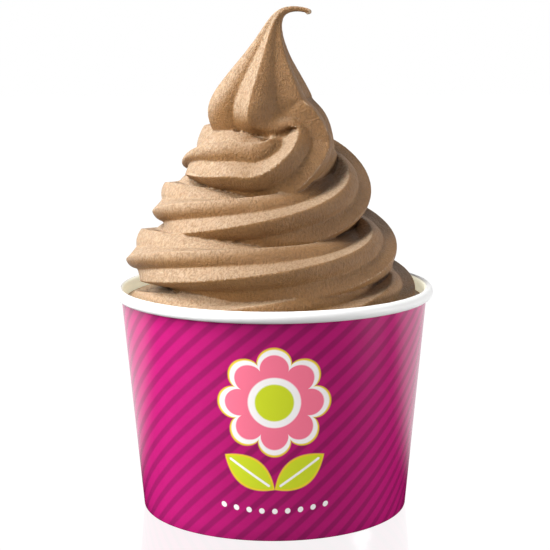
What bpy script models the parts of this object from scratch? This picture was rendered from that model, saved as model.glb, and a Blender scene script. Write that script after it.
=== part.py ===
"""Frozen yogurt cup: a rolled-rim paper cup filled with soft-serve frozen yogurt in a tall swirl.

The origin is the middle of the cup's foot, +Z is up and the swirl shows its front to -Y.
Sizes are in millimetres; MM turns them into metres where meshes are made.

The yogurt is one rope with a star-shaped section. The nozzle hangs still while the cup goes round
under it, so each ridge of the rope keeps its own compass bearing and rolls round the rope by one
full turn per lap.
"""

import math

import bmesh
import bpy
import numpy as np

MM = 0.001

# Paper cup
SEGMENTS = 64
FOOT_RADIUS = 41.9          # outside of the wall, at the table
RIM_RADIUS = 50.0           # outside of the rolled rim
RIM_TOP = 70.3
ROLL_WIDTH = 2.8            # the rolled rim, across
ROLL_HEIGHT = 3.5
PAPER = 0.5
GAP = 0.3                   # between pieces that touch
HEM_HEIGHT = 6.2            # the wall folds back up inside the foot by this much
BASE_TOP = 7.6              # upper face of the recessed bottom disc

# Yogurt in the cup
FILL_LEVEL = 66.4
CORE_SHARE = 0.8            # radius of the solid middle over the lap radius

# Star nozzle and rope
RIDGES = 6
RIDGE_BEARING = 257.2       # compass bearing of one ridge, degrees anticlockwise from +X
VALLEY_DEPTH = 0.765        # valley radius over ridge radius
VALLEY_PLACE = 0.55         # where the valley lies between a ridge and the next
EDGE_SLOPE = 0.60           # share of the fall that starts right at the ridge
UNDERSIDE_POWER = 2.2       # how late the rest of it comes
PRESS_HEIGHT = 2.0          # a lap's upper side is flattened to about this height

# One row for each of six places along the laps of the swirl, counted from +X, anticlockwise:
# laps, axis x, axis y, lap radius, height, rise towards +X, rise towards +Y, rope radius,
# squash, swing of the ridges towards +X and towards +Y in degrees
LAPS = (
    (0.40, -0.75, 2.01, 37.41, 58.34, -0.62, 1.22, 9.95, 0.74, 8.4, -22.2),
    (0.75, -0.69, 2.22, 36.36, 66.21, -2.45, 1.03, 10.26, 0.85, 5.9, -25.7),
    (1.75, -1.79, 1.49, 33.01, 79.93, -3.35, 1.78, 10.71, 0.92, 16.7, -3.6),
    (2.75, -2.02, 1.80, 22.56, 97.53, -1.35, 5.94, 10.85, 0.95, 18.7, -1.4),
    (3.40, -0.11, 2.67, 17.81, 106.66, -3.07, 6.35, 12.13, 0.92, 40.0, -8.4),
    (4.00, -2.65, 2.27, 11.74, 116.95, -1.89, 5.15, 12.82, 0.98, 4.7, -10.8),
)
FIRST_LAP, LAST_LAP = 0.05, 3.70

# The rope leaves the last lap, turns upright and is pulled off to a hooked tip:
# laps, x, y, z, rope radius
PEAK = (
    (3.85, 3.85, -10.59, 107.79, 12.12),
    (3.96, 7.16, -4.17, 109.96, 12.48),
    (4.07, 7.07, -0.51, 113.18, 13.36),
    (4.18, 7.58, 0.39, 114.91, 12.72),
    (4.29, 5.29, 2.12, 117.35, 12.55),
    (4.40, -2.08, 4.10, 120.24, 15.65),
    (4.52, -3.65, 2.75, 128.79, 16.12),
    (4.64, -1.20, -0.01, 143.72, 6.29),
    (4.76, 2.82, -0.11, 154.50, 1.49),
    (4.88, 10.48, -0.09, 155.11, 0.88),
    (5.00, 10.28, -0.27, 154.24, 0.50),
)
# Share by which the star is kept level where the rope stands up: most, laps it comes and goes
LEVEL_SHARE = 0.6
LEVEL_FROM, LEVEL_FULL = 4.20, 4.42
LEVEL_UNTIL, LEVEL_GONE = 4.55, 4.70
# Squash and swing fade out along the peak: share at its start, and lost over its length
FADE_START, FADE_LOSS = 1.15, 1.8

# The skin is dragged in places: by how many mm, compass bearing of the side, laps, spread in laps
LIFT = (5.64, 341.3, 4.443, 0.085)
PUSH = (4.44, 320.0, 4.285, 0.094)
SHOULDER = (2.5, 17.0, 4.290, 0.060)
# The outer ridge of each lap sags on the left
SAGS = ((-7.0, 150.0, 3.46, 0.10), (-1.5, 178.0, 2.46, 0.14), (-2.6, 180.0, 1.46, 0.14))
# Folds on the outer side of the bend into the peak are evened out: spread and reach in laps,
# and the sector of the section in degrees from its first ridge
EASE = 0.045
EASED_LAPS = (4.12, 4.22, 4.52, 4.62)
EASED_SECTOR = (10, 35, 150, 190)

# Yogurt squeezed up between the last lap and the peak
PLUG_CENTRE = (2.5, -2.5, 116.5)
PLUG_REACH = (9.0, 8.0, 5.5)

VOXEL = 0.9
YOGURT_SHARE = 0.0235
STATION_STEP = 0.05         # laps between computed stations of the centre line
RING_STEP = 0.0125          # laps between rings of the rope
RING_POINTS = 60


def smoothstep(x):
    x = np.clip(x, 0.0, 1.0)
    return x * x * (3.0 - 2.0 * x)


def window(x, start, full, until, gone):
    """0 outside start and gone, 1 between full and until, smooth in between."""
    return smoothstep((x - start) / (full - start)) * (1 - smoothstep((x - until) / (gone - until)))


class Spline:
    """Natural cubic spline through rows of values, straight beyond both ends."""

    def __init__(self, knots, values):
        self.x = np.array(knots, float)
        self.y = np.array(values, float)
        step = np.diff(self.x)[:, None]
        slope = np.diff(self.y, axis=0) / step
        count = len(self.x)
        system = np.eye(count)
        right = np.zeros_like(self.y)
        for i in range(1, count - 1):
            system[i, i - 1:i + 2] = step[i - 1, 0], 2 * (step[i - 1, 0] + step[i, 0]), step[i, 0]
            right[i] = 6 * (slope[i] - slope[i - 1])
        self.bend = np.linalg.solve(system, right)

    def __call__(self, at):
        at = np.atleast_1d(np.asarray(at, float))
        inside = np.clip(at, self.x[0], self.x[-1])
        i = np.clip(np.searchsorted(self.x, inside) - 1, 0, len(self.x) - 2)
        step = (self.x[i + 1] - self.x[i])[:, None]
        b = (inside - self.x[i])[:, None] / step
        a = 1.0 - b
        y0, y1, m0, m1 = self.y[i], self.y[i + 1], self.bend[i], self.bend[i + 1]
        curve = a * y0 + b * y1 + ((a ** 3 - a) * m0 + (b ** 3 - b) * m1) * step ** 2 / 6
        end_slope = (y1 - y0) / step + ((1 - 3 * a * a) * m0 + (3 * b * b - 1) * m1) * step / 6
        return curve + end_slope * (at - inside)[:, None]


def lap_values(laps):
    """Centre line (x, y, z) and rope (radius, squash, swing) in the laps of the swirl."""
    table = np.array(LAPS)
    axis_x, axis_y, lap_radius, height, rise_x, rise_y, rope, squash, swing_x, swing_y = (
        Spline(table[:, 0], table[:, 1:])(laps).T
    )
    c = np.cos(2 * np.pi * laps)
    s = np.sin(2 * np.pi * laps)
    centre = np.c_[
        axis_x + lap_radius * c,
        axis_y + lap_radius * s,
        height + rise_x * c + rise_y * s,
    ]
    return centre, np.c_[rope, squash, swing_x * c + swing_y * s]


def rope_path():
    """Splines of the centre line and of the rope's radius, squash and swing, from foot to tip."""
    laps = np.arange(FIRST_LAP, LAST_LAP + 1e-6, STATION_STEP)
    centre, rope = lap_values(laps)
    peak = np.array(PEAK)
    along = np.arange(1, len(peak) + 1) / len(peak)
    fade = np.clip(FADE_START - FADE_LOSS * along, 0.0, 1.0)
    squash = rope[-1, 1] * fade + (1 - fade)
    swing = rope[-1, 2] * fade
    knots = np.r_[laps, peak[:, 0]]
    line = Spline(knots, np.r_[centre, peak[:, 1:4]])
    shape = Spline(knots, np.r_[rope, np.c_[peak[:, 4], squash, swing]])
    return line, shape


def star(bearing):
    """Radius of the nozzle's star at a bearing from a ridge, as a share of the ridge's radius.

    Past its crest each ridge swells before it falls to the valley; the next one rises straight.
    """
    period = 2 * math.pi / RIDGES
    x = np.mod(bearing, period) / period
    down = np.clip(x / VALLEY_PLACE, 0, 1)
    fall = EDGE_SLOPE * down + (1 - EDGE_SLOPE) * down ** UNDERSIDE_POWER
    width = (1 - VALLEY_PLACE) * period
    up = np.clip((x - VALLEY_PLACE) * period, 0, width)
    climb = VALLEY_DEPTH * math.sin(width) / (np.sin(width - up) + VALLEY_DEPTH * np.sin(up))
    return np.where(x < VALLEY_PLACE, 1 - (1 - VALLEY_DEPTH) * fall, climb)


def drag(laps, angle, amount, bearing, middle, spread, power=1.0):
    """How far the skin is dragged at each ring and compass angle."""
    facing = np.maximum(0.0, np.cos(angle - math.radians(bearing))) ** power
    return amount * np.exp(-(((laps - middle) / spread) ** 2))[:, None] * facing


def eased(rings, laps, bearing):
    """Evens out the folds on the outer side of the bend into the peak."""
    kernel = np.exp(-0.5 * ((laps[:, None] - laps[None, :]) / EASE) ** 2)
    kernel /= kernel.sum(1, keepdims=True)
    even = np.tensordot(kernel, rings, axes=(1, 0))
    turn = np.degrees(bearing)
    share = window(laps, *EASED_LAPS)[:, None] * window(turn, *EASED_SECTOR)[None, :]
    return rings + (even - rings) * share[:, :, None]


def rope_rings(first, last):
    """Rings of points round the rope; each ring is the still nozzle's star, tipped along the rope."""
    line, shape = rope_path()
    laps = np.linspace(first, last, int(round((last - first) / RING_STEP)) + 1)
    centre = line(laps)
    along = line(laps + 1e-3) - line(laps - 1e-3)
    along /= np.linalg.norm(along, axis=1, keepdims=True)
    upright = LEVEL_SHARE * window(laps, LEVEL_FROM, LEVEL_FULL, LEVEL_UNTIL, LEVEL_GONE)
    along = along * (1 - upright)[:, None] + upright[:, None] * np.array([0, 0, 1.0])
    along /= np.linalg.norm(along, axis=1, keepdims=True)
    rope, squash, swing = shape(laps).T
    bearing = np.linspace(0, 2 * np.pi, RING_POINTS, endpoint=False)
    angle = np.radians(RIDGE_BEARING + swing)[:, None] + bearing[None, :]
    flat = np.stack([np.cos(angle), np.sin(angle), 0 * angle], axis=2)
    # The smallest turn that takes +Z to the rope's direction
    hinge = np.stack([-along[:, 1], along[:, 0], 0 * along[:, 2]], axis=1)[:, None, :]
    lean = along[:, 2][:, None, None]
    spoke = (
        flat * lean
        + np.cross(np.broadcast_to(hinge, flat.shape), flat)
        + hinge * ((hinge * flat).sum(2, keepdims=True) / (1 + lean))
    )
    level = 1 - np.clip(along[:, 2], 0, 1)[:, None] ** 2
    rise = spoke[:, :, 2] * (squash[:, None] * level + 1 - level)
    pressed = PRESS_HEIGHT * np.tanh(np.maximum(rise, 0) / PRESS_HEIGHT)
    spoke[:, :, 2] = np.where(rise > 0, level * pressed + (1 - level) * rise, rise)
    share = star(bearing)[None, :]
    rings = centre[:, None, :] + spoke * (rope[:, None] * share)[:, :, None]
    rings[:, :, 2] += drag(laps, angle, *LIFT, power=1.5) * share
    rings[:, :, 1] -= drag(laps, angle, *PUSH) * share
    rings[:, :, 0] += drag(laps, angle, *SHOULDER, power=2.0) * share
    for sag in SAGS:
        rings[:, :, 2] += drag(laps, angle, *sag, power=2.0) * share
    return eased(rings, laps, bearing)


def tube_mesh(rings):
    """Points and faces of a closed tube through the rings."""
    count, around, _ = rings.shape
    points = [tuple(p * MM) for p in rings.reshape(-1, 3)]
    faces = []
    for i in range(count - 1):
        for j in range(around):
            a = i * around + j
            b = i * around + (j + 1) % around
            faces.append((a, b, b + around, a + around))
    faces.append(tuple(range(around - 1, -1, -1)))
    faces.append(tuple(range((count - 1) * around, count * around)))
    return points, faces


def revolved(profile, axis=None, segments=SEGMENTS):
    """Points and faces of a profile of (radius, height) turned round a vertical axis.

    The profile runs anticlockwise with the radius to the right. One that starts and ends at
    radius 0 makes a solid body, any other is taken as closed and makes a ring. The axis may be
    a list of (x, y), one per profile point.
    """
    if axis is None:
        axis = [(0.0, 0.0)] * len(profile)
    solid = profile[0][0] == 0 and profile[-1][0] == 0
    points = []
    rows = []
    for (radius, height), (x, y) in zip(profile, axis):
        if radius == 0:
            rows.append([len(points)] * segments)
            points.append((x * MM, y * MM, height * MM))
            continue
        rows.append(list(range(len(points), len(points) + segments)))
        for k in range(segments):
            turn = 2 * math.pi * k / segments
            points.append(
                ((x + radius * math.cos(turn)) * MM, (y + radius * math.sin(turn)) * MM, height * MM)
            )
    faces = []
    for i in range(len(rows) - 1 if solid else len(rows)):
        low, high = rows[i], rows[(i + 1) % len(rows)]
        for k in range(segments):
            ring = (low[k], low[(k + 1) % segments], high[(k + 1) % segments], high[k])
            faces.append(tuple(dict.fromkeys(ring)))
    return points, faces


def joined(parts):
    points, faces = [], []
    for more_points, more_faces in parts:
        start = len(points)
        points += more_points
        faces += [tuple(start + i for i in face) for face in more_faces]
    return points, faces


def add_object(name, shape, colour=None, roughness=0.6, helper=False, smooth_under=40):
    points, faces = shape
    mesh = bpy.data.meshes.new(name)
    mesh.from_pydata(points, [], faces)
    mesh.validate()
    body = bmesh.new()
    body.from_mesh(mesh)
    bmesh.ops.recalc_face_normals(body, faces=body.faces)
    body.to_mesh(mesh)
    body.free()
    mesh.shade_smooth()
    mesh.set_sharp_from_angle(angle=math.radians(smooth_under))
    obj = bpy.data.objects.new(name, mesh)
    bpy.context.scene.collection.objects.link(obj)
    if helper:
        obj.hide_render = True
        obj.display_type = "WIRE"
        return obj
    material = bpy.data.materials.new(name)
    material.use_nodes = True
    shader = material.node_tree.nodes["Principled BSDF"]
    shader.inputs["Base Color"].default_value = (*colour, 1.0)
    shader.inputs["Roughness"].default_value = roughness
    mesh.materials.append(material)
    return obj


def boolean(obj, name, operation, other):
    modifier = obj.modifiers.new(name, "BOOLEAN")
    modifier.operation = operation
    modifier.solver = "EXACT"
    modifier.object = other


def wall_radius(height):
    """Outside of the paper wall."""
    under_rim = RIM_RADIUS - ROLL_WIDTH / 2 - 0.65
    return FOOT_RADIUS + (under_rim - FOOT_RADIUS) * height / (RIM_TOP - ROLL_HEIGHT)


def wall_profile():
    """Wall, rolled rim and the hem that folds up inside the foot, round a slot for the base's skirt."""
    profile = [(FOOT_RADIUS - PAPER, 0.0), (FOOT_RADIUS, 0.3)]
    centre = (RIM_RADIUS - ROLL_WIDTH / 2, RIM_TOP - ROLL_HEIGHT / 2)
    for degrees in range(-116, 216, 22):
        turn = math.radians(degrees)
        profile.append(
            (
                centre[0] + ROLL_WIDTH / 2 * math.cos(turn),
                centre[1] + ROLL_HEIGHT / 2 * math.sin(turn),
            )
        )
    profile.append((wall_radius(66.0) - PAPER, 66.0))
    profile.append((wall_radius(PAPER) - PAPER, PAPER))
    slot = PAPER + 2 * GAP
    profile.append((wall_radius(PAPER) - PAPER - slot, PAPER))
    profile.append((wall_radius(HEM_HEIGHT) - PAPER - slot, HEM_HEIGHT))
    profile.append((wall_radius(HEM_HEIGHT) - 2 * PAPER - slot, HEM_HEIGHT))
    profile.append((wall_radius(0.0) - 2 * PAPER - slot, 0.0))
    return profile


def base_profile():
    """Recessed bottom disc with its skirt, which hangs in the hem's slot."""
    inset = PAPER + GAP
    skirt_foot = PAPER + GAP
    return [
        (0.0, BASE_TOP - PAPER),
        (wall_radius(BASE_TOP) - inset - PAPER, BASE_TOP - PAPER),
        (wall_radius(skirt_foot) - inset - PAPER, skirt_foot),
        (wall_radius(skirt_foot) - inset, skirt_foot),
        (wall_radius(BASE_TOP) - inset, BASE_TOP),
        (0.0, BASE_TOP),
    ]


def room_profile():
    """The space that the yogurt may take: the inside of the cup, and all above it."""
    inset = PAPER + GAP
    neck = RIM_RADIUS - ROLL_WIDTH - GAP
    return [
        (0.0, BASE_TOP + GAP),
        (wall_radius(BASE_TOP + GAP) - inset, BASE_TOP + GAP),
        (wall_radius(66.0) - inset, 66.0),
        (neck, 67.5),
        (neck, RIM_TOP + 0.4),
        (RIM_RADIUS + 8, RIM_TOP + 6),
        (RIM_RADIUS + 8, RIM_TOP + 120),
        (0.0, RIM_TOP + 120),
    ]


def fill_shape():
    top = FILL_LEVEL
    over = 1.0
    return revolved(
        [
            (0.0, BASE_TOP - 1),
            (wall_radius(BASE_TOP) + over, BASE_TOP - 1),
            (wall_radius(top) + over, top),
            (0.0, top),
        ]
    )


def plug_shape():
    middle_x, middle_y, middle_z = PLUG_CENTRE
    reach_x, reach_y, reach_z = PLUG_REACH
    turns = np.linspace(0, math.pi, 9)
    profile = [(math.sin(turn) * reach_x, middle_z - math.cos(turn) * reach_z) for turn in turns]
    profile[0] = (0.0, middle_z - reach_z)
    profile[-1] = (0.0, middle_z + reach_z)
    points, faces = revolved(profile)
    narrow = reach_y / reach_x
    return [(x + middle_x * MM, y * narrow + middle_y * MM, z) for x, y, z in points], faces


def core_shape():
    """The solid middle that the laps lie against."""
    laps = np.linspace(0.5, 3.9, 18)
    table = np.array(LAPS)
    values = Spline(table[:, 0], table[:, 1:])(laps)
    profile = [(0.0, FILL_LEVEL - 6)]
    axis = [tuple(values[0, :2])]
    for axis_x, axis_y, lap_radius, height in values[:, :4]:
        profile.append((max(lap_radius * CORE_SHARE, 4.0), max(height, FILL_LEVEL - 6)))
        axis.append((axis_x, axis_y))
    profile.append((0.0, profile[-1][1] + 1.0))
    axis.append(axis[-1])
    return revolved(profile, axis)


def build_yogurt():
    body_end = 4.70
    rope = tube_mesh(rope_rings(FIRST_LAP, body_end))
    yogurt = add_object(
        "frozen_yogurt",
        joined([rope, core_shape(), plug_shape(), fill_shape()]),
        colour=(0.41, 0.26, 0.15),
        roughness=0.6,
    )
    tip = add_object(
        "tip_helper", tube_mesh(rope_rings(body_end - 0.06, PEAK[-1][0])[:, ::2]), helper=True
    )
    room = add_object("room_helper", revolved(room_profile()), helper=True)
    remesh = yogurt.modifiers.new("merge", "REMESH")
    remesh.mode = "VOXEL"
    remesh.voxel_size = VOXEL * MM
    remesh.use_smooth_shade = True
    reduce = yogurt.modifiers.new("reduce", "DECIMATE")
    reduce.ratio = YOGURT_SHARE
    boolean(yogurt, "add_tip", "UNION", tip)
    boolean(yogurt, "fit_cup", "INTERSECT", room)


def main():
    for obj in list(bpy.data.objects):
        bpy.data.objects.remove(obj)
    add_object("cup_wall", revolved(wall_profile()), colour=(0.58, 0.012, 0.19), roughness=0.35)
    add_object("cup_base", revolved(base_profile()), colour=(0.85, 0.84, 0.8), roughness=0.6)
    build_yogurt()


main()
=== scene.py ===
"""Looks of the frozen yogurt cup: printed paper cup, its bottom disc and the soft-serve swirl.

Lengths are in millimetres; MM turns them into metres where meshes, lights and shaders need them.
"""

import math

import bmesh
import bpy
import numpy as np
from mathutils import Euler, Matrix, Vector, noise


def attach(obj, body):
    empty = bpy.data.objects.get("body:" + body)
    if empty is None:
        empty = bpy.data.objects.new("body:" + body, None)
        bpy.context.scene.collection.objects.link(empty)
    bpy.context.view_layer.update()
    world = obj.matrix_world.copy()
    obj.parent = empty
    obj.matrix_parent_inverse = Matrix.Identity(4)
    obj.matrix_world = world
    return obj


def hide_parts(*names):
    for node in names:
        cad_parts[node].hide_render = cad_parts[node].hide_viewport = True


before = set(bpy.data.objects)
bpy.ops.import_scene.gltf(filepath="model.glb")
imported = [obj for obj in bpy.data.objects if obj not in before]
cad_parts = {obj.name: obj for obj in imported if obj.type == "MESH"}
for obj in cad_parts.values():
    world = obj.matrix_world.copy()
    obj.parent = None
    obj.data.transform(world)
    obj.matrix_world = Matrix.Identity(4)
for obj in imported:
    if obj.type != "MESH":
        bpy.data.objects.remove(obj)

MM = 0.001

# Paper cup, as in the CAD
FOOT_RADIUS = 41.9
RIM_RADIUS = 50.0
RIM_TOP = 70.3
ROLL_WIDTH = 2.8
ROLL_HEIGHT = 3.5
PAPER = 0.5
GAP = 0.3
HEM_HEIGHT = 6.2
BASE_TOP = 7.6
FILL_LEVEL = 66.4

# Star nozzle and rope, as in the CAD
CORE_SHARE = 0.8
RIDGES = 6
RIDGE_BEARING = 257.2
VALLEY_DEPTH = 0.765
VALLEY_PLACE = 0.55
EDGE_SLOPE = 0.60
UNDERSIDE_POWER = 2.2
PRESS_HEIGHT = 2.0
LAPS = (
    (0.40, -0.75, 2.01, 37.41, 58.34, -0.62, 1.22, 9.95, 0.74, 8.4, -22.2),
    (0.75, -0.69, 2.22, 36.36, 66.21, -2.45, 1.03, 10.26, 0.85, 5.9, -25.7),
    (1.75, -1.79, 1.49, 33.01, 79.93, -3.35, 1.78, 10.71, 0.92, 16.7, -3.6),
    (2.75, -2.02, 1.80, 22.56, 97.53, -1.35, 5.94, 10.85, 0.95, 18.7, -1.4),
    (3.40, -0.11, 2.67, 17.81, 106.66, -3.07, 6.35, 12.13, 0.92, 40.0, -8.4),
    (4.00, -2.65, 2.27, 11.74, 116.95, -1.89, 5.15, 12.82, 0.98, 4.7, -10.8),
)
FIRST_LAP, LAST_LAP = 0.05, 3.70
PEAK = (
    (3.85, 3.85, -10.59, 107.79, 12.12),
    (3.96, 7.16, -4.17, 109.96, 12.48),
    (4.07, 7.07, -0.51, 113.18, 13.36),
    (4.18, 7.58, 0.39, 114.91, 12.72),
    (4.29, 5.29, 2.12, 117.35, 12.55),
    (4.40, -2.08, 4.10, 120.24, 15.65),
    (4.52, -3.65, 2.75, 128.79, 16.12),
    (4.64, -1.20, -0.01, 143.72, 6.29),
    (4.76, 2.82, -0.11, 154.50, 1.49),
    (4.88, 10.48, -0.09, 155.11, 0.88),
    (5.00, 10.28, -0.27, 154.24, 0.50),
)
# Share by which the star is kept level where the rope stands up: most, laps it comes and goes
LEVEL_SHARE = 0.6
LEVEL_FROM, LEVEL_FULL = 4.20, 4.42
LEVEL_UNTIL, LEVEL_GONE = 4.55, 4.70
# Squash and swing fade out along the peak: share at its start, and lost over its length
FADE_START, FADE_LOSS = 1.15, 1.8

# The skin is dragged in places: by how many mm, compass bearing of the side, laps, spread in laps
LIFT = (5.64, 341.3, 4.443, 0.085)
PUSH = (4.44, 320.0, 4.285, 0.094)
SHOULDER = (2.5, 17.0, 4.290, 0.060)
# The outer ridge of each lap sags on the left
SAGS = ((-7.0, 150.0, 3.46, 0.10), (-1.5, 178.0, 2.46, 0.14), (-2.6, 180.0, 1.46, 0.14))
# Folds on the outer side of the bend into the peak are evened out: spread and reach in laps,
# and the sector of the section in degrees from its first ridge
EASE = 0.045
EASED_LAPS = (4.12, 4.22, 4.52, 4.62)
EASED_SECTOR = (10, 35, 150, 190)

# Yogurt squeezed up between the last lap and the peak
PLUG_CENTRE = (2.5, -2.5, 116.5)
PLUG_REACH = (9.0, 8.0, 5.5)
# The cleft over it is soft
CLEFT = (1.5, -12.0, 117.8)
CLEFT_REACH = 5.0

# Fineness of the visual model
STATION_STEP = 0.05
RING_STEP = 0.004
RING_POINTS = 144
VOXEL = 0.38
MOST_TRIANGLES = 190000
CUP_SEGMENTS = 288

# Printed stripes: they climb to the right round the cup
STRIPE_SLOPE = math.radians(41)
STRIPE_PERIOD = 4.39
STRIPE_PHASE = 0.16
PRINT_RADIUS = 45.0

# Photograph's viewpoint
CAMERA_DISTANCE = 463.05
CAMERA_HEIGHT = 148.79
CAMERA_DOWN = 9.302
CAMERA_ROLL = -0.235
FOCAL_PIXELS = 1487.08
FRAME_PIXELS = 550
SHIFT_PIXELS = -1.142
PAINTED_LIGHT_SIDE = (-0.75, -0.05, 0.66)    # painted highlight: skin that faces this way, up and to the left towards the key light, is painted paler
ROOM_LIGHT = 0.16           # brightness of the room in front of the table
BACK_LIGHT = 0.35           # the backdrop's, which looks white
ROOM_MIRRORED = 0.12        # the same, as mirrored by gloss


# ------------------------------------------------------------------ swirl


def smoothstep(x):
    x = np.clip(x, 0.0, 1.0)
    return x * x * (3.0 - 2.0 * x)


def window(x, start, full, until, gone):
    """0 outside start and gone, 1 between full and until, smooth in between."""
    return smoothstep((x - start) / (full - start)) * (1 - smoothstep((x - until) / (gone - until)))


class Spline:
    """Natural cubic spline through rows of values, straight beyond both ends."""

    def __init__(self, knots, values):
        self.x = np.array(knots, float)
        self.y = np.array(values, float)
        step = np.diff(self.x)[:, None]
        slope = np.diff(self.y, axis=0) / step
        count = len(self.x)
        system = np.eye(count)
        right = np.zeros_like(self.y)
        for i in range(1, count - 1):
            system[i, i - 1:i + 2] = step[i - 1, 0], 2 * (step[i - 1, 0] + step[i, 0]), step[i, 0]
            right[i] = 6 * (slope[i] - slope[i - 1])
        self.bend = np.linalg.solve(system, right)

    def __call__(self, at):
        at = np.atleast_1d(np.asarray(at, float))
        inside = np.clip(at, self.x[0], self.x[-1])
        i = np.clip(np.searchsorted(self.x, inside) - 1, 0, len(self.x) - 2)
        step = (self.x[i + 1] - self.x[i])[:, None]
        b = (inside - self.x[i])[:, None] / step
        a = 1.0 - b
        y0, y1, m0, m1 = self.y[i], self.y[i + 1], self.bend[i], self.bend[i + 1]
        curve = a * y0 + b * y1 + ((a ** 3 - a) * m0 + (b ** 3 - b) * m1) * step ** 2 / 6
        end_slope = (y1 - y0) / step + ((1 - 3 * a * a) * m0 + (3 * b * b - 1) * m1) * step / 6
        return curve + end_slope * (at - inside)[:, None]


def lap_values(laps):
    """Centre line (x, y, z) and rope (radius, squash, swing) in the laps of the swirl."""
    table = np.array(LAPS)
    axis_x, axis_y, lap_radius, height, rise_x, rise_y, rope, squash, swing_x, swing_y = (
        Spline(table[:, 0], table[:, 1:])(laps).T
    )
    c = np.cos(2 * np.pi * laps)
    s = np.sin(2 * np.pi * laps)
    centre = np.c_[
        axis_x + lap_radius * c,
        axis_y + lap_radius * s,
        height + rise_x * c + rise_y * s,
    ]
    return centre, np.c_[rope, squash, swing_x * c + swing_y * s]


def rope_path():
    """Splines of the centre line and of the rope's radius, squash and swing, from foot to tip."""
    laps = np.arange(FIRST_LAP, LAST_LAP + 1e-6, STATION_STEP)
    centre, rope = lap_values(laps)
    peak = np.array(PEAK)
    along = np.arange(1, len(peak) + 1) / len(peak)
    fade = np.clip(FADE_START - FADE_LOSS * along, 0.0, 1.0)
    squash = rope[-1, 1] * fade + (1 - fade)
    swing = rope[-1, 2] * fade
    knots = np.r_[laps, peak[:, 0]]
    line = Spline(knots, np.r_[centre, peak[:, 1:4]])
    shape = Spline(knots, np.r_[rope, np.c_[peak[:, 4], squash, swing]])
    return line, shape


def star(bearing):
    """Radius of the nozzle's star at a bearing from a ridge, as a share of the ridge's radius.

    Past its crest each ridge swells before it falls to the valley; the next one rises straight.
    """
    period = 2 * math.pi / RIDGES
    x = np.mod(bearing, period) / period
    down = np.clip(x / VALLEY_PLACE, 0, 1)
    fall = EDGE_SLOPE * down + (1 - EDGE_SLOPE) * down ** UNDERSIDE_POWER
    width = (1 - VALLEY_PLACE) * period
    up = np.clip((x - VALLEY_PLACE) * period, 0, width)
    climb = VALLEY_DEPTH * math.sin(width) / (np.sin(width - up) + VALLEY_DEPTH * np.sin(up))
    return np.where(x < VALLEY_PLACE, 1 - (1 - VALLEY_DEPTH) * fall, climb)


def drag(laps, angle, amount, bearing, middle, spread, power=1.0):
    """How far the skin is dragged at each ring and compass angle."""
    facing = np.maximum(0.0, np.cos(angle - math.radians(bearing))) ** power
    return amount * np.exp(-(((laps - middle) / spread) ** 2))[:, None] * facing


def eased(rings, laps, bearing):
    """Evens out the folds on the outer side of the bend into the peak."""
    kernel = np.exp(-0.5 * ((laps[:, None] - laps[None, :]) / EASE) ** 2)
    kernel /= kernel.sum(1, keepdims=True)
    even = np.tensordot(kernel, rings, axes=(1, 0))
    turn = np.degrees(bearing)
    share = window(laps, *EASED_LAPS)[:, None] * window(turn, *EASED_SECTOR)[None, :]
    return rings + (even - rings) * share[:, :, None]


def rope_rings(first, last):
    """Rings of points round the rope; each ring is the still nozzle's star, tipped along the rope."""
    line, shape = rope_path()
    laps = np.linspace(first, last, int(round((last - first) / RING_STEP)) + 1)
    centre = line(laps)
    along = line(laps + 1e-3) - line(laps - 1e-3)
    along /= np.linalg.norm(along, axis=1, keepdims=True)
    upright = LEVEL_SHARE * window(laps, LEVEL_FROM, LEVEL_FULL, LEVEL_UNTIL, LEVEL_GONE)
    along = along * (1 - upright)[:, None] + upright[:, None] * np.array([0, 0, 1.0])
    along /= np.linalg.norm(along, axis=1, keepdims=True)
    rope, squash, swing = shape(laps).T
    bearing = np.linspace(0, 2 * np.pi, RING_POINTS, endpoint=False)
    angle = np.radians(RIDGE_BEARING + swing)[:, None] + bearing[None, :]
    flat = np.stack([np.cos(angle), np.sin(angle), 0 * angle], axis=2)
    # The smallest turn that takes +Z to the rope's direction
    hinge = np.stack([-along[:, 1], along[:, 0], 0 * along[:, 2]], axis=1)[:, None, :]
    lean = along[:, 2][:, None, None]
    spoke = (
        flat * lean
        + np.cross(np.broadcast_to(hinge, flat.shape), flat)
        + hinge * ((hinge * flat).sum(2, keepdims=True) / (1 + lean))
    )
    level = 1 - np.clip(along[:, 2], 0, 1)[:, None] ** 2
    rise = spoke[:, :, 2] * (squash[:, None] * level + 1 - level)
    pressed = PRESS_HEIGHT * np.tanh(np.maximum(rise, 0) / PRESS_HEIGHT)
    spoke[:, :, 2] = np.where(rise > 0, level * pressed + (1 - level) * rise, rise)
    share = star(bearing)[None, :]
    rings = centre[:, None, :] + spoke * (rope[:, None] * share)[:, :, None]
    rings[:, :, 2] += drag(laps, angle, *LIFT, power=1.5) * share
    rings[:, :, 1] -= drag(laps, angle, *PUSH) * share
    rings[:, :, 0] += drag(laps, angle, *SHOULDER, power=2.0) * share
    for sag in SAGS:
        rings[:, :, 2] += drag(laps, angle, *sag, power=2.0) * share
    return eased(rings, laps, bearing)


# ------------------------------------------------------------------ meshes


def tube_mesh(rings):
    """Points and faces of a closed tube through the rings."""
    count, around, _ = rings.shape
    index = np.arange(count * around).reshape(count, around)
    low, high = index[:-1], index[1:]
    quads = np.stack([low, np.roll(low, -1, 1), np.roll(high, -1, 1), high], axis=2)
    faces = [tuple(q) for q in quads.reshape(-1, 4).tolist()]
    faces.append(tuple(index[0, ::-1].tolist()))
    faces.append(tuple(index[-1].tolist()))
    return [tuple(p) for p in (rings.reshape(-1, 3) * MM).tolist()], faces


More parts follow.
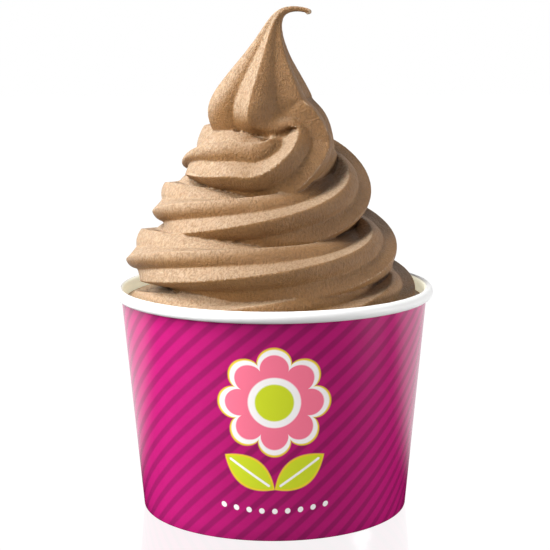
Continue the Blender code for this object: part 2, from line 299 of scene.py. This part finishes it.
def revolved(profile, axis=None, segments=CUP_SEGMENTS):
    """Points and faces of a profile of (radius, height) turned round a vertical axis.

    A profile that starts and ends at radius 0 makes a solid body, any other makes a ring. The
    axis may be a list of (x, y), one per profile point.
    """
    if axis is None:
        axis = [(0.0, 0.0)] * len(profile)
    solid = profile[0][0] == 0 and profile[-1][0] == 0
    points = []
    rows = []
    for (radius, height), (x, y) in zip(profile, axis):
        if radius == 0:
            rows.append([len(points)] * segments)
            points.append((x * MM, y * MM, height * MM))
            continue
        rows.append(list(range(len(points), len(points) + segments)))
        for k in range(segments):
            turn = 2 * math.pi * k / segments
            points.append(
                ((x + radius * math.cos(turn)) * MM, (y + radius * math.sin(turn)) * MM, height * MM)
            )
    faces = []
    for i in range(len(rows) - 1 if solid else len(rows)):
        low, high = rows[i], rows[(i + 1) % len(rows)]
        for k in range(segments):
            ring = (low[k], low[(k + 1) % segments], high[(k + 1) % segments], high[k])
            faces.append(tuple(dict.fromkeys(ring)))
    return points, faces


def joined(parts):
    points, faces = [], []
    for more_points, more_faces in parts:
        start = len(points)
        points += more_points
        faces += [tuple(start + i for i in face) for face in more_faces]
    return points, faces


def add_mesh(name, shape):
    points, faces = shape
    mesh = bpy.data.meshes.new(name)
    mesh.from_pydata(points, [], faces)
    mesh.validate()
    body = bmesh.new()
    body.from_mesh(mesh)
    bmesh.ops.recalc_face_normals(body, faces=body.faces)
    body.to_mesh(mesh)
    body.free()
    obj = bpy.data.objects.new(name, mesh)
    bpy.context.scene.collection.objects.link(obj)
    return obj


def wall_radius(height):
    """Outside of the paper wall."""
    under_rim = RIM_RADIUS - ROLL_WIDTH / 2 - 0.65
    return FOOT_RADIUS + (under_rim - FOOT_RADIUS) * height / (RIM_TOP - ROLL_HEIGHT)


def room_limit(height):
    """Largest radius that the yogurt may have at a height."""
    neck = RIM_RADIUS - ROLL_WIDTH - GAP
    heights = [0.0, 66.0, 67.5, RIM_TOP + 0.4, RIM_TOP + 6]
    limits = [
        wall_radius(0.0) - PAPER - GAP,
        wall_radius(66.0) - PAPER - GAP,
        neck,
        neck,
        RIM_RADIUS + 8,
    ]
    return np.interp(height, heights, limits)


# ------------------------------------------------------------------ yogurt


def core_shape():
    """The solid middle that the laps lie against."""
    laps = np.linspace(0.5, 3.9, 18)
    table = np.array(LAPS)
    values = Spline(table[:, 0], table[:, 1:])(laps)
    profile = [(0.0, FILL_LEVEL - 6)]
    axis = [tuple(values[0, :2])]
    for axis_x, axis_y, lap_radius, height in values[:, :4]:
        profile.append((max(lap_radius * CORE_SHARE, 4.0), max(height, FILL_LEVEL - 6)))
        axis.append((axis_x, axis_y))
    profile.append((0.0, profile[-1][1] + 1.0))
    axis.append(axis[-1])
    return revolved(profile, axis)


def plug_shape():
    steps = np.linspace(0, math.pi, 13)
    middle_x, middle_y, middle_z = PLUG_CENTRE
    reach_x, reach_y, reach_z = PLUG_REACH
    profile = [(math.sin(a) * reach_x, middle_z - math.cos(a) * reach_z) for a in steps]
    vertices, faces = revolved(profile, [(0.0, 0.0)] * len(profile))
    narrow = reach_y / reach_x
    vertices = [(x + middle_x * MM, y * narrow + middle_y * MM, z) for x, y, z in vertices]
    return vertices, faces


def fill_shape():
    inset = 0.05
    low, top = BASE_TOP + GAP, FILL_LEVEL
    return revolved(
        [
            (0.0, low),
            (float(room_limit(low)) - inset, low),
            (float(room_limit(top)) - inset, top),
            (0.0, top),
        ]
    )


def merged(shape):
    """One closed skin round overlapping solids, with no more triangles than allowed."""
    obj = add_mesh("merging", shape)
    remesh = obj.modifiers.new("merge", "REMESH")
    remesh.mode = "VOXEL"
    remesh.voxel_size = VOXEL * MM
    graph = bpy.context.evaluated_depsgraph_get()
    skin = bpy.data.meshes.new_from_object(obj.evaluated_get(graph))
    obj.modifiers.clear()
    obj.data = skin
    triangles = 2 * len(skin.polygons)
    if triangles > MOST_TRIANGLES:
        reduce = obj.modifiers.new("reduce", "DECIMATE")
        reduce.ratio = MOST_TRIANGLES / triangles
        graph = bpy.context.evaluated_depsgraph_get()
        skin = bpy.data.meshes.new_from_object(obj.evaluated_get(graph))
    bpy.data.objects.remove(obj)
    return skin


def curvature(points, normals, edges):
    """How far each point stands out of its neighbours: above 0 on crests, below 0 in creases."""
    total = np.zeros_like(points)
    count = np.zeros(len(points))
    length = np.zeros(len(points))
    first, second = edges.T
    span = np.linalg.norm(points[first] - points[second], axis=1)
    for here, there in ((first, second), (second, first)):
        for axis in range(3):
            total[:, axis] += np.bincount(here, points[there, axis], len(points))
        count += np.bincount(here, minlength=len(points))
        length += np.bincount(here, span, len(points))
    count = np.maximum(count, 1)
    stand = ((points - total / count[:, None]) * normals).sum(1) / np.maximum(length / count, 1e-9)
    for _ in range(3):
        spread = np.zeros(len(points))
        for here, there in ((first, second), (second, first)):
            spread += np.bincount(here, stand[there], len(points))
        stand = 0.4 * stand + 0.6 * spread / count
    return stand


def softened(points, edges):
    """Rounds the folds where the rope bends up into the peak."""
    centre = np.array(CLEFT) * MM
    weight = np.exp(-((np.linalg.norm(points - centre, axis=1) / (CLEFT_REACH * MM)) ** 2))
    near = weight > 0.02
    kept = edges[near[edges].any(1)]
    first, second = kept.T
    count = np.maximum(np.bincount(kept.ravel(), minlength=len(points)), 1)
    for _ in range(40):
        for axis in range(3):
            values = points[:, axis]
            total = np.bincount(first, values[second], len(points))
            total += np.bincount(second, values[first], len(points))
            move = weight * (total / count - values)
            points[near, axis] += 0.5 * move[near]
    return points


def build_yogurt():
    skin = merged(joined([tube_mesh(rope_rings(FIRST_LAP, PEAK[-1][0])), core_shape(), plug_shape(), fill_shape()]))
    points = np.empty(len(skin.vertices) * 3)
    skin.vertices.foreach_get("co", points)
    points = points.reshape(-1, 3)
    radius = np.linalg.norm(points[:, :2], axis=1)
    share = np.minimum(1.0, room_limit(points[:, 2] / MM) * MM / np.maximum(radius, 1e-6))
    points[:, :2] *= share[:, None]
    edges = np.empty(len(skin.edges) * 2, int)
    skin.edges.foreach_get("vertices", edges)
    edges = edges.reshape(-1, 2)
    points = softened(points, edges)
    skin.vertices.foreach_set("co", points.ravel())
    skin.update()
    skin.shade_smooth()
    normals = np.empty(len(points) * 3)
    skin.vertex_normals.foreach_get("vector", normals)
    # This curvature drives the painted highlight on crests and the painted shade in creases
    stand = curvature(points, normals.reshape(-1, 3), edges)
    attribute = skin.attributes.new("crest", "FLOAT", "POINT")
    attribute.data.foreach_set("value", stand)
    skin.name = "soft_serve"
    obj = bpy.data.objects.new("soft_serve", skin)
    bpy.context.scene.collection.objects.link(obj)
    return obj


# ------------------------------------------------------------------ paper cup


def wall_profile():
    """Outline of the wall, from the foot up the outside, over the rolled rim and down inside."""
    profile = [
        (FOOT_RADIUS - PAPER, 0.0, "hem"),
        (FOOT_RADIUS - 0.2, 0.0, "print"),
        (FOOT_RADIUS - 0.05, 0.08, "print"),
        (wall_radius(0.3), 0.3, "print"),
    ]
    for height in np.linspace(4.0, 64.0, 16):
        profile.append((wall_radius(height), float(height), "print"))
    under_roll = RIM_TOP - ROLL_HEIGHT + 0.1
    profile.append((wall_radius(under_roll), under_roll, "print"))
    centre = (RIM_RADIUS - ROLL_WIDTH / 2, RIM_TOP - ROLL_HEIGHT / 2)
    # The roll's inner side takes the inside paper, which has a painted glow
    for degrees in range(-106, 216, 7):
        turn = math.radians(degrees)
        profile.append(
            (
                centre[0] + ROLL_WIDTH / 2 * math.cos(turn),
                centre[1] + ROLL_HEIGHT / 2 * math.sin(turn),
                "rim" if degrees < 125 else "inside",
            )
        )
    slot = PAPER + 2 * GAP
    profile += [
        (wall_radius(66.0) - PAPER, 66.0, "inside"),
        (wall_radius(40.0) - PAPER, 40.0, "inside"),
        (wall_radius(BASE_TOP) - PAPER, BASE_TOP, "inside"),
        (wall_radius(PAPER) - PAPER, PAPER, "hem"),
        (wall_radius(PAPER) - PAPER - slot, PAPER, "hem"),
        (wall_radius(HEM_HEIGHT) - PAPER - slot, HEM_HEIGHT, "hem"),
        (wall_radius(HEM_HEIGHT) - 2 * PAPER - slot, HEM_HEIGHT, "hem"),
        (wall_radius(0.0) - 2 * PAPER - slot, 0.0, "hem"),
    ]
    return profile


def build_wall(materials):
    """The wall with the lap of its side seam at the back: a crisp edge that fades the other way."""
    profile = wall_profile()
    flap_edge = math.radians(93)
    flap_width = math.radians(14)
    flap_height = 0.28
    turns = list(np.linspace(0, 2 * math.pi, CUP_SEGMENTS, endpoint=False) + flap_edge)
    turns.append(flap_edge + 2 * math.pi - 1e-3)
    points = []
    for radius, height, kind in profile:
        for turn in turns:
            past = (turn - flap_edge) / flap_width
            lift = flap_height * float(1 - smoothstep(past)) if kind == "print" else 0.0
            r = radius + lift
            points.append((r * math.cos(turn) * MM, r * math.sin(turn) * MM, height * MM))
    around = len(turns)
    faces = []
    kinds = []
    for i in range(len(profile)):
        j = (i + 1) % len(profile)
        for k in range(around):
            m = (k + 1) % around
            faces.append((i * around + k, i * around + m, j * around + m, j * around + k))
            kinds.append(profile[j][2] if profile[j][2] == "rim" else profile[i][2])
    obj = add_mesh("paper_cup", (points, faces))
    obj.data.shade_smooth()
    obj.data.set_sharp_from_angle(angle=math.radians(38))
    names = list(materials)
    for name in names:
        obj.data.materials.append(materials[name])
    for face, kind in zip(obj.data.polygons, kinds):
        face.material_index = names.index(kind)
    return obj


def build_base(material):
    """Recessed bottom disc with its skirt, with a rounded corner and a shallow pressed ring."""
    inset = PAPER + GAP
    foot = PAPER + GAP
    corner = 1.0
    outer = wall_radius(BASE_TOP) - inset
    profile = [(0.0, BASE_TOP - PAPER)]
    for radius, lift in ((30.0, 0.0), (31.0, 0.25), (33.0, 0.25), (34.0, 0.0)):
        profile.append((radius, BASE_TOP - PAPER + lift))
    for degrees in (90, 60, 30, 0):
        turn = math.radians(degrees)
        profile.append(
            (
                outer - corner + (corner - PAPER) * math.cos(turn),
                BASE_TOP - corner + (corner - PAPER) * math.sin(turn),
            )
        )
    profile.append((wall_radius(foot) - inset - PAPER, foot))
    profile.append((wall_radius(foot) - inset, foot))
    for degrees in (0, 30, 60, 90):
        turn = math.radians(degrees)
        profile.append(
            (outer - corner + corner * math.cos(turn), BASE_TOP - corner + corner * math.sin(turn))
        )
    for radius, lift in ((34.0, 0.0), (33.0, 0.25), (31.0, 0.25), (30.0, 0.0)):
        profile.append((radius, BASE_TOP + lift))
    profile.append((0.0, BASE_TOP))
    obj = add_mesh("cup_bottom", revolved(profile, segments=144))
    obj.data.shade_smooth()
    obj.data.set_sharp_from_angle(angle=math.radians(38))
    obj.data.materials.append(material)
    return obj


# ------------------------------------------------------------------ shaders


class Value:
    """A number worked out by shader nodes, with the usual arithmetic."""

    def __init__(self, tree, socket):
        self.tree = tree
        self.socket = socket

    def math(self, operation, *others, swap=False):
        node = self.tree.nodes.new("ShaderNodeMath")
        node.operation = operation
        inputs = [self, *others]
        if swap:
            inputs.reverse()
        for slot, value in zip(node.inputs, inputs):
            if isinstance(value, Value):
                self.tree.links.new(value.socket, slot)
            else:
                slot.default_value = value
        return Value(self.tree, node.outputs[0])

    def __add__(self, other):
        return self.math("ADD", other)

    def __sub__(self, other):
        return self.math("SUBTRACT", other)

    def __rsub__(self, other):
        return self.math("SUBTRACT", other, swap=True)

    def __mul__(self, other):
        return self.math("MULTIPLY", other)

    def __truediv__(self, other):
        return self.math("DIVIDE", other)

    def ramp(self, start, end):
        """0 before start and 1 past end, with a smooth change between them."""
        node = self.tree.nodes.new("ShaderNodeMapRange")
        node.interpolation_type = "SMOOTHSTEP"
        self.tree.links.new(self.socket, node.inputs["Value"])
        low, high = min(start, end), max(start, end)
        node.inputs["From Min"].default_value = low
        node.inputs["From Max"].default_value = high
        node.inputs["To Min"].default_value = 0.0 if start < end else 1.0
        node.inputs["To Max"].default_value = 1.0 if start < end else 0.0
        return Value(self.tree, node.outputs["Result"])


def new_material(name, **settings):
    """A material with its Principled shader set; returns (material, tree, shader)."""
    material = bpy.data.materials.new(name)
    material.use_nodes = True
    tree = material.node_tree
    shader = tree.nodes["Principled BSDF"]
    for key, value in settings.items():
        shader.inputs[key.replace("_", " ")].default_value = value
    return material, tree, shader


def position(tree, scale=(1.0, 1.0, 1.0)):
    """Place on the object in millimetres, stretched by scale."""
    source = tree.nodes.new("ShaderNodeTexCoord")
    mapping = tree.nodes.new("ShaderNodeMapping")
    mapping.inputs["Scale"].default_value = [s / MM for s in scale]
    tree.links.new(source.outputs["Object"], mapping.inputs["Vector"])
    return mapping.outputs["Vector"]


def speckle(tree, vector, size, detail=2.0, roughness=0.5):
    """Soft noise whose features are about size millimetres wide."""
    node = tree.nodes.new("ShaderNodeTexNoise")
    node.inputs["Scale"].default_value = 1.0 / size
    node.inputs["Detail"].default_value = detail
    node.inputs["Roughness"].default_value = roughness
    tree.links.new(vector, node.inputs["Vector"])
    return Value(tree, node.outputs["Fac"])


def mixed(tree, share, first, second):
    """Colour between first and second; each is a colour or a socket."""
    node = tree.nodes.new("ShaderNodeMix")
    node.data_type = "RGBA"
    for slot, value in ((node.inputs[0], share), (node.inputs[6], first), (node.inputs[7], second)):
        if isinstance(value, Value):
            tree.links.new(value.socket, slot)
        elif isinstance(value, bpy.types.NodeSocket):
            tree.links.new(value, slot)
        else:
            slot.default_value = (*value, 1.0)
    return node.outputs[2]


def bump(tree, shader, height, distance, strength=1.0):
    """Small relief; distance is the depth in millimetres that a height of 1 stands for."""
    node = tree.nodes.new("ShaderNodeBump")
    node.inputs["Distance"].default_value = distance * MM
    node.inputs["Strength"].default_value = strength
    tree.links.new(height.socket, node.inputs["Height"])
    tree.links.new(node.outputs["Normal"], shader.inputs["Normal"])


def srgb(*levels):
    """Linear colour from 0 to 255 screen levels."""
    return tuple(
        c / 12.92 if c <= 0.04045 else ((c + 0.055) / 1.055) ** 2.4 for c in (v / 255 for v in levels)
    )


def print_material():
    """Glossy magenta print with diagonal stripes and a flower in the middle of the front."""
    material, tree, shader = new_material("printed_paper", Roughness=0.22, IOR=1.5)
    split = tree.nodes.new("ShaderNodeSeparateXYZ")
    tree.links.new(position(tree), split.inputs[0])
    x, y, z = (Value(tree, socket) for socket in split.outputs)
    turn = x.math("ARCTAN2", y * -1.0)
    across = turn * PRINT_RADIUS
    phase = (across * math.sin(STRIPE_SLOPE) - z * math.cos(STRIPE_SLOPE)) / STRIPE_PERIOD
    beside = ((phase + (0.5 - STRIPE_PHASE)).math("FRACT") - 0.5).math("ABSOLUTE")
    stripe = beside.ramp(0.12, 0.29)
    mottle = speckle(tree, position(tree), 7.0, detail=3.0)
    bright = mixed(tree, mottle, (0.43, 0.010, 0.145), (0.47, 0.012, 0.165))
    dark = mixed(tree, mottle, (0.28, 0.009, 0.105), (0.31, 0.012, 0.118))
    colour = mixed(tree, stripe, dark, bright)

    def shape(mask, paint):
        nonlocal colour
        colour = mixed(tree, mask, colour, paint)

    yellow = srgb(238, 206, 52)
    pink = srgb(246, 120, 148)
    white = srgb(250, 246, 246)
    lime = srgb(205, 217, 45)
    soft = 0.25
    # Flower: petals, ring and centre
    dx = across
    dz = z - 43.0
    out = (dx * dx + dz * dz).math("SQRT")
    bearing = dz.math("ARCTAN2", dx)
    petals = ((bearing * 4.0).math("COSINE")).math("ABSOLUTE").math("POWER", 0.6)
    edge = out - petals * 4.2
    shape(edge.ramp(12.4 + soft, 12.4 - soft), yellow)
    shape(edge.ramp(11.8 + soft, 11.8 - soft), white)
    shape(edge.ramp(10.2 + soft, 10.2 - soft), pink)
    shape(out.ramp(7.6 + soft, 7.6 - soft), white)
    shape(out.ramp(5.6 + soft, 5.6 - soft), lime)
    # Two leaves below it
    for side in (-1.0, 1.0):
        lean = math.radians(35)
        u = (dx * side - 7.5) * math.cos(lean) + (z - 21.5) * math.sin(lean)
        v = (z - 21.5) * math.cos(lean) - (dx * side - 7.5) * math.sin(lean)
        leaf = v.math("ABSOLUTE") + u * u * 0.055
        shape(leaf.ramp(4.6 + soft, 4.6 - soft), yellow)
        shape(leaf.ramp(4.0 + soft, 4.0 - soft), lime)
        shape((v.math("ABSOLUTE") + u.math("ABSOLUTE").ramp(7.0, 8.0)).ramp(0.5, 0.2), white)
    # A bowed row of dots under the leaves
    row = (across / 4.0 + 0.5).math("FRACT") - 0.5
    sag = z - 9.5 - across * across * 0.006
    dot = (row * row * 16.0 + sag * sag).math("SQRT") + across.math("ABSOLUTE").ramp(17.9, 18.1) * 4.0
    shape(dot.ramp(0.95, 0.75), white)

    tree.links.new(colour, shader.inputs["Base Color"])
    fibre = speckle(tree, position(tree, (1.0, 1.0, 0.6)), 0.9, detail=3.0)
    bump(tree, shader, fibre, 0.02)
    return material


def paper_material(name, colour, warm, glow=0.0, roughness=0.45):
    """Bare coated paperboard with faint fibres; glow is painted light, an emission that makes the paper look lit
    where it lies in shade.
    """
    material, tree, shader = new_material(name, Roughness=roughness, IOR=1.45)
    # Painted light: a warm cream glow, as strong as glow
    shader.inputs["Emission Color"].default_value = (1.0, 0.97, 0.74, 1.0)
    shader.inputs["Emission Strength"].default_value = glow
    cloud = speckle(tree, position(tree), 5.0, detail=4.0)
    tree.links.new(mixed(tree, cloud, colour, warm), shader.inputs["Base Color"])
    bump(tree, shader, speckle(tree, position(tree), 0.8, detail=3.0), 0.03)
    return material


def yogurt_material():
    """Chilled chocolate-coffee yogurt: grainy and faintly translucent, with a painted highlight on its crests and
    on the side that faces the key light, and painted shade in its creases.
    """
    material, tree, shader = new_material("frozen_yogurt", Roughness=0.5, IOR=1.42)
    shader.inputs["Subsurface Weight"].default_value = 0.15
    shader.inputs["Subsurface Radius"].default_value = (1.0, 0.5, 0.25)
    shader.inputs["Subsurface Scale"].default_value = 1.0 * MM
    cloud = speckle(tree, position(tree), 9.0, detail=3.0)
    grain = speckle(tree, position(tree, (1.0, 1.0, 0.6)), 0.6, detail=3.0, roughness=0.6)
    body = mixed(tree, cloud.ramp(0.3, 0.7), (0.232, 0.117, 0.043), (0.263, 0.137, 0.053))
    # Painted highlight: skin that faces the key light is painted paler, with speckled painted glints; the same
    # speckle also lowers the roughness where frost lies
    painted_light_mask = Value(tree, facing(tree, PAINTED_LIGHT_SIDE)).ramp(0.3, 0.8)
    frost_and_glints = speckle(tree, position(tree), 1.6, detail=4.0, roughness=0.7).ramp(0.25, 0.75)
    body = mixed(tree, painted_light_mask * 0.42 + painted_light_mask * frost_and_glints * 0.26, body, (0.53, 0.405, 0.285))
    body = mixed(tree, grain.ramp(0.42, 0.62) * 0.45, body, (0.14, 0.070, 0.026))
    crest = Value(tree, attribute_socket(tree, "crest"))
    # Painted highlight: crests are painted paler
    body = mixed(tree, crest.ramp(0.085, 0.13) * 0.6, body, (0.60, 0.47, 0.34))
    # Painted shade: creases are painted near black-brown
    body = mixed(tree, crest.ramp(-0.05, -0.16) * 0.75, body, (0.09, 0.042, 0.015))
    tree.links.new(body, shader.inputs["Base Color"])
    tree.links.new((0.62 - frost_and_glints * 0.15).socket, shader.inputs["Roughness"])
    ice = speckle(tree, position(tree), 0.42, detail=2.0)
    lumps = speckle(tree, position(tree), 2.2, detail=2.0)
    bump(tree, shader, grain * 0.8 + ice * 0.5 + lumps * 0.3, 0.6)
    return material


def facing(tree, direction):
    """How far the skin faces a direction, from -1 to 1."""
    geometry = tree.nodes.new("ShaderNodeNewGeometry")
    product = tree.nodes.new("ShaderNodeVectorMath")
    product.operation = "DOT_PRODUCT"
    product.inputs[1].default_value = direction
    tree.links.new(geometry.outputs["Normal"], product.inputs[0])
    return product.outputs["Value"]


def attribute_socket(tree, name):
    node = tree.nodes.new("ShaderNodeAttribute")
    node.attribute_name = name
    return node.outputs["Fac"]


# ------------------------------------------------------------------ stage


def build_floor():
    """White gloss table: bright as the backdrop, with a faint mirror image of what stands on it."""
    reach = 3000.0
    corners = [(-reach, -reach, 0.0), (reach, -reach, 0.0), (reach, reach, 0.0), (-reach, reach, 0.0)]
    floor = add_mesh("floor", ([tuple(c * MM for c in p) for p in corners], [(0, 1, 2, 3)]))
    material = bpy.data.materials.new("floor")
    material.use_nodes = True
    tree = material.node_tree
    tree.nodes.remove(tree.nodes["Principled BSDF"])
    output = tree.nodes["Material Output"]
    path = tree.nodes.new("ShaderNodeLightPath")
    split = tree.nodes.new("ShaderNodeSeparateXYZ")
    tree.links.new(position(tree), split.inputs[0])
    glow = tree.nodes.new("ShaderNodeEmission")
    glow.inputs["Strength"].default_value = 1.1
    matte = tree.nodes.new("ShaderNodeBsdfDiffuse")
    matte.inputs["Color"].default_value = (0.16, 0.16, 0.16, 1.0)
    mirror = tree.nodes.new("ShaderNodeBsdfGlossy")
    mirror.inputs["Roughness"].default_value = 0.04
    behind = tree.nodes.new("ShaderNodeEmission")
    tree.links.new(Value(tree, split.outputs["Y"]).ramp(6.0, 74.0).socket, behind.inputs["Strength"])

    def choose(share, first, second):
        node = tree.nodes.new("ShaderNodeMixShader")
        if isinstance(share, float):
            node.inputs[0].default_value = share
        else:
            tree.links.new(share, node.inputs[0])
        tree.links.new(first.outputs[0], node.inputs[1])
        tree.links.new(second.outputs[0], node.inputs[2])
        return node

    seen = choose(0.2, glow, mirror)
    mirrored = choose(path.outputs["Is Glossy Ray"], matte, behind)
    lit = choose(path.outputs["Is Camera Ray"], mirrored, seen)
    tree.links.new(lit.outputs[0], output.inputs["Surface"])
    floor.data.materials.append(material)


def build_world():
    """White surroundings that light the object more softly than they look."""
    world = bpy.data.worlds.new("studio")
    bpy.context.scene.world = world
    world.use_nodes = True
    tree = world.node_tree
    background = tree.nodes["Background"]
    background.inputs["Color"].default_value = (1.0, 1.0, 1.0, 1.0)
    source = tree.nodes.new("ShaderNodeTexCoord")
    split = tree.nodes.new("ShaderNodeSeparateXYZ")
    tree.links.new(source.outputs["Generated"], split.inputs[0])
    path = tree.nodes.new("ShaderNodeLightPath")
    mirrored = Value(tree, path.outputs["Is Glossy Ray"])
    dim = mirrored * (ROOM_MIRRORED - ROOM_LIGHT) + ROOM_LIGHT
    backdrop = Value(tree, split.outputs["Y"]).ramp(-0.35, 0.6)
    room = (backdrop * (mirrored * (1.0 - BACK_LIGHT) + BACK_LIGHT)).math("MAXIMUM", dim)
    strength = room.math("MAXIMUM", Value(tree, path.outputs["Is Camera Ray"]))
    tree.links.new(strength.socket, background.inputs["Strength"])


def add_light(name, bearing, height, distance, size, power, aim=80.0, mirrored=True):
    """Soft square light; bearing is degrees from the front towards +X, aim a height on the axis."""
    target = Vector((0.0, 0.0, aim)) * MM
    turn, climb = math.radians(bearing), math.radians(height)
    away = Vector(
        (math.sin(turn) * math.cos(climb), -math.cos(turn) * math.cos(climb), math.sin(climb))
    )
    light = bpy.data.lights.new(name, "AREA")
    light.size = size
    light.energy = power
    obj = bpy.data.objects.new(name, light)
    obj.location = target + away * distance
    obj.rotation_euler = (-away).to_track_quat("-Z", "Y").to_euler()
    obj.visible_glossy = mirrored
    bpy.context.scene.collection.objects.link(obj)


def build_camera():
    camera = bpy.data.cameras.new("camera")
    camera.sensor_width = 36.0
    camera.lens = camera.sensor_width * FOCAL_PIXELS / FRAME_PIXELS
    camera.shift_x = -SHIFT_PIXELS / FRAME_PIXELS
    obj = bpy.data.objects.new("camera", camera)
    place = Matrix.Translation((0.0, -CAMERA_DISTANCE * MM, CAMERA_HEIGHT * MM))
    tilt = Euler((math.radians(90 - CAMERA_DOWN), 0.0, 0.0)).to_matrix().to_4x4()
    obj.matrix_world = place @ tilt @ Matrix.Rotation(math.radians(CAMERA_ROLL), 4, "Z")
    bpy.context.scene.collection.objects.link(obj)
    bpy.context.scene.camera = obj


def corners(bounds):
    return [list(corner) for corner in bounds]


# ------------------------------------------------------------------ scene

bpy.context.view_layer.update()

white_paper = paper_material("white_paper", (0.80, 0.80, 0.80), (0.83, 0.83, 0.82))
# The inside paper glows: painted light on the shaded inner wall and on the inner side of the rim
cream_paper_painted_glow = paper_material("cream_paper_painted_glow", (0.90, 0.90, 0.78), (0.92, 0.92, 0.82), glow=0.45)

yogurt = build_yogurt()
yogurt.data.materials.append(yogurt_material())
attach(yogurt, "root")
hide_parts("frozen_yogurt")

cup = build_wall(
    {"print": print_material(), "rim": white_paper, "inside": cream_paper_painted_glow, "hem": white_paper}
)
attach(cup, "root")
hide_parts("cup_wall")

bottom = build_base(white_paper)
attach(bottom, "root")
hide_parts("cup_base")

build_floor()
build_world()
add_light("key", bearing=-66, height=56, distance=0.8, size=0.25, power=7.2, aim=110.0)
add_light("side", bearing=-58, height=20, distance=0.42, size=0.35, power=3.4, aim=145.0, mirrored=False)
add_light("card", bearing=75, height=2, distance=0.5, size=0.1, power=1.9, aim=25.0)
build_camera()
bpy.context.scene.view_settings.view_transform = "Standard"
